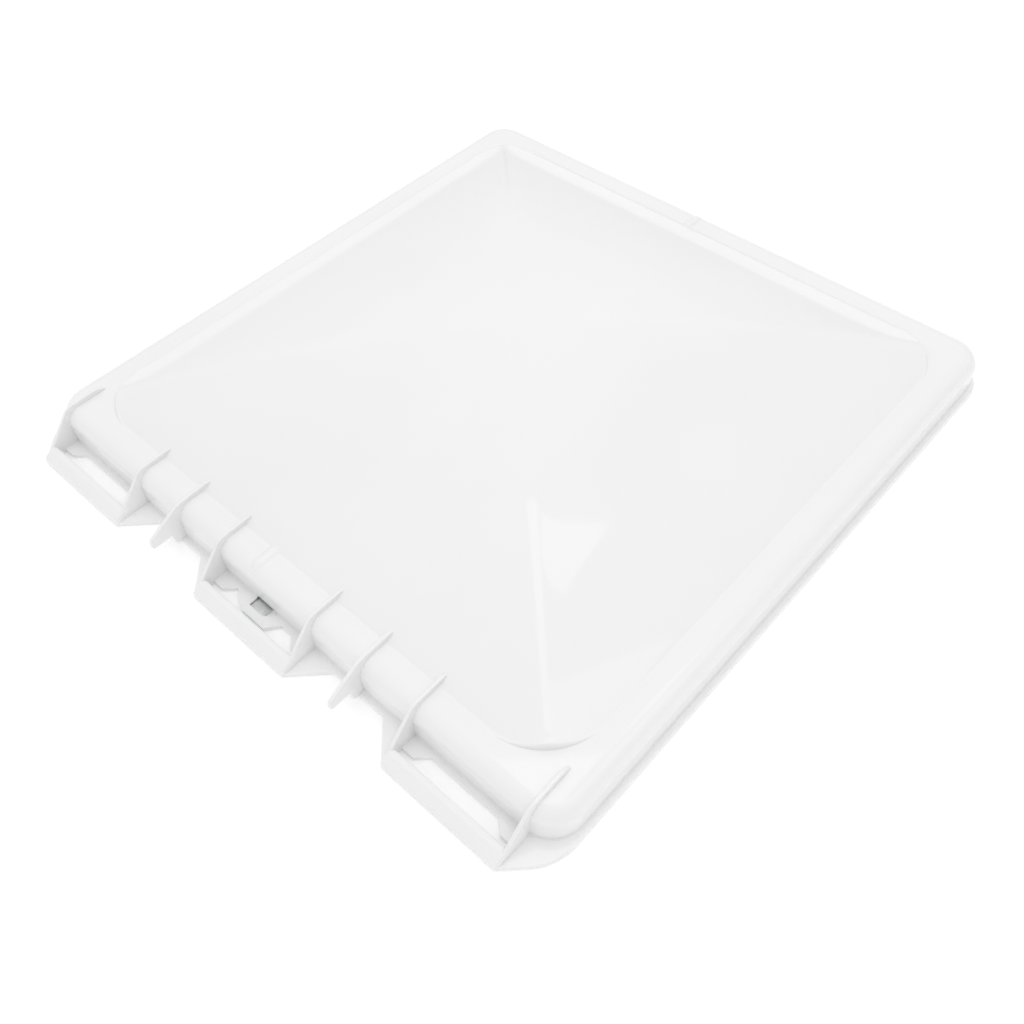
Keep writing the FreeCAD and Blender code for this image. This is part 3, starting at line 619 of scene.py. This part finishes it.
def zinc_plate():
    """Bright zinc plating on small steel parts."""
    material, shader = new_material("zinc plate", (0.62, 0.61, 0.58), 0.3)
    shader.inputs["Metallic"].default_value = 1.0
    fine = noise(material, 500.0).outputs["Fac"]
    tint(material, shader, fine, (0.56, 0.55, 0.51), (0.68, 0.67, 0.65))
    spread(material, noise(material, 900.0), 0.22, 0.4, shader.inputs["Roughness"])
    return material


def natural_nylon():
    """Milky nylon."""
    material, shader = new_material("natural nylon", (0.72, 0.70, 0.62), 0.35)
    shader.inputs["Subsurface Weight"].default_value = 0.15
    shader.inputs["Subsurface Radius"].default_value = (0.003, 0.003, 0.002)
    fine = noise(material, 120.0).outputs["Fac"]
    tint(material, shader, fine, (0.69, 0.67, 0.59), (0.75, 0.73, 0.65))
    spread(material, noise(material, 400.0), 0.3, 0.42, shader.inputs["Roughness"])
    return material


def black_foam():
    """Closed-cell foam strip."""
    material, shader = new_material("black foam", (0.03, 0.03, 0.03), 0.85)
    fine = noise(material, 900.0).outputs["Fac"]
    tint(material, shader, fine, (0.018, 0.018, 0.018), (0.045, 0.045, 0.045))
    add_bump(material, shader, noise(material, 1500.0, 6.0), 0.5, 0.0004)
    return material


# ---- floor, light and camera ------------------------------------------------------------

def pale_floor():
    """A broad plain floor."""
    bm = bmesh.new()
    bmesh.ops.create_grid(bm, x_segments=1, y_segments=1, size=FLOOR_HALF)
    mesh = bpy.data.meshes.new("floor")
    bm.to_mesh(mesh)
    bm.free()
    material, shader = new_material("pale floor", (0.92, 0.92, 0.92), 0.9)
    shader.inputs["Specular IOR Level"].default_value = 0.0
    shader.inputs["Emission Color"].default_value = (1, 1, 1, 1)
    shader.inputs["Emission Strength"].default_value = FLOOR_GLOW
    mesh.materials.append(material)
    floor = bpy.data.objects.new("floor", mesh)
    floor.location.z = lid_low.z * MM - FLOOR_GAP
    bpy.context.scene.collection.objects.link(floor)


def softbox(name, centre, turn, length, width, glow):
    """A flat softbox hung level over the lid: turned about the vertical, glow times as bright as white."""
    data = bpy.data.lights.new(name, "AREA")
    data.shape = "RECTANGLE"
    data.size = length
    data.size_y = width
    data.energy = glow * math.pi * length * width
    lamp = bpy.data.objects.new(name, data)
    lamp.location = centre
    lamp.rotation_euler = (0, 0, math.radians(turn))
    bpy.context.scene.collection.objects.link(lamp)


def facing(world, direction, way):
    """How closely a direction points one way."""
    node = add_node(world, "ShaderNodeVectorMath")
    node.operation = "DOT_PRODUCT"
    node.inputs[1].default_value = way
    world.node_tree.links.new(direction, node.inputs[0])
    return node.outputs["Value"]


def white_room():
    """A white room, brightest overhead, brighter on one side, with a soft halo."""
    world = bpy.data.worlds.new("room")
    world.use_nodes = True
    links = world.node_tree.links
    background = world.node_tree.nodes["Background"]
    background.inputs["Color"].default_value = (1, 1, 1, 1)
    direction = add_node(world, "ShaderNodeTexCoord").outputs["Generated"]
    split = add_node(world, "ShaderNodeSeparateXYZ")
    sides = add_node(
        world, "ShaderNodeMapRange",
        **{"From Min": -1.0, "To Min": ROOM_FRONT, "To Max": ROOM_BACK})
    room = add_node(world, "ShaderNodeMapRange", **{"To Max": ROOM_TOP})
    halo = add_node(world, "ShaderNodeMapRange", **{"From Min": HALO_EDGE, "To Max": HALO})
    halo.interpolation_type = "SMOOTHSTEP"
    total = add_node(world, "ShaderNodeMath")
    links.new(direction, split.inputs["Vector"])
    links.new(facing(world, direction, BACKDROP), sides.inputs["Value"])
    links.new(split.outputs["Z"], room.inputs["Value"])
    links.new(sides.outputs["Result"], room.inputs["To Min"])
    links.new(facing(world, direction, HALO_MIDDLE), halo.inputs["Value"])
    links.new(room.outputs["Result"], total.inputs[0])
    links.new(halo.outputs["Result"], total.inputs[1])
    links.new(total.outputs["Value"], background.inputs["Strength"])
    bpy.context.scene.world = world


def studio():
    """The room's light, three softboxes that the gloss picks up, and plain tones."""
    white_room()
    softbox("ridge softbox", (-0.05, 0.13, 2.0), 135, 1.1, 0.7, 0.9)
    softbox("side softbox", (0.225, 0.84, 2.0), 26.4, 0.5, 0.275, 0.9)
    softbox("front softbox", (1.55, 0.73, 2.0), 48, 2.4, 0.9, 0.55)
    settings = bpy.context.scene.view_settings
    settings.view_transform = "Standard"
    settings.look = "None"


def camera():
    """Looks down on the hinge corner."""
    azimuth, elevation, roll = math.radians(44.70), math.radians(51.63), math.radians(-3.01)
    distance = 0.5570
    aim = Vector((0.0513, -0.0652 + WALL_MIDDLE * MM, 0))
    back = Vector((
        math.sin(azimuth) * math.cos(elevation),
        -math.cos(azimuth) * math.cos(elevation),
        math.sin(elevation)))
    right = Vector((math.cos(azimuth), math.sin(azimuth), 0))
    turn = Matrix((right, back.cross(right), back)).transposed() @ Matrix.Rotation(roll, 3, "Z")
    data = bpy.data.cameras.new("camera")
    data.sensor_width = 36.0
    data.lens = 35.66
    data.clip_start = 0.01
    eye = bpy.data.objects.new("camera", data)
    eye.matrix_world = Matrix.Translation(aim + back * distance) @ turn.to_4x4()
    bpy.context.scene.collection.objects.link(eye)
    bpy.context.scene.camera = eye


def dress(node, material):
    """Give a frame part its finish."""
    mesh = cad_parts[node].data
    mesh.materials.clear()
    mesh.materials.append(material)


def build():
    """Add the lid's finer pieces, give every part its finish and set up the studio."""
    plastic = white_polypropylene()
    for make in (lid_skin, flange, hinge_parts, screw_pads):
        make(plastic)
    steel, zinc, nylon = galvanised_sheet(), zinc_plate(), natural_nylon()
    dress("lift_rail", steel)
    for node in ("rail_screws", "rail_washers", "shoe_pin", "pin_clip"):
        dress(node, zinc)
    for node in ("rail_stops", "lift_shoe"):
        dress(node, nylon)
    dress("weather_seal", black_foam())
    pale_floor()
    studio()
    camera()


build()
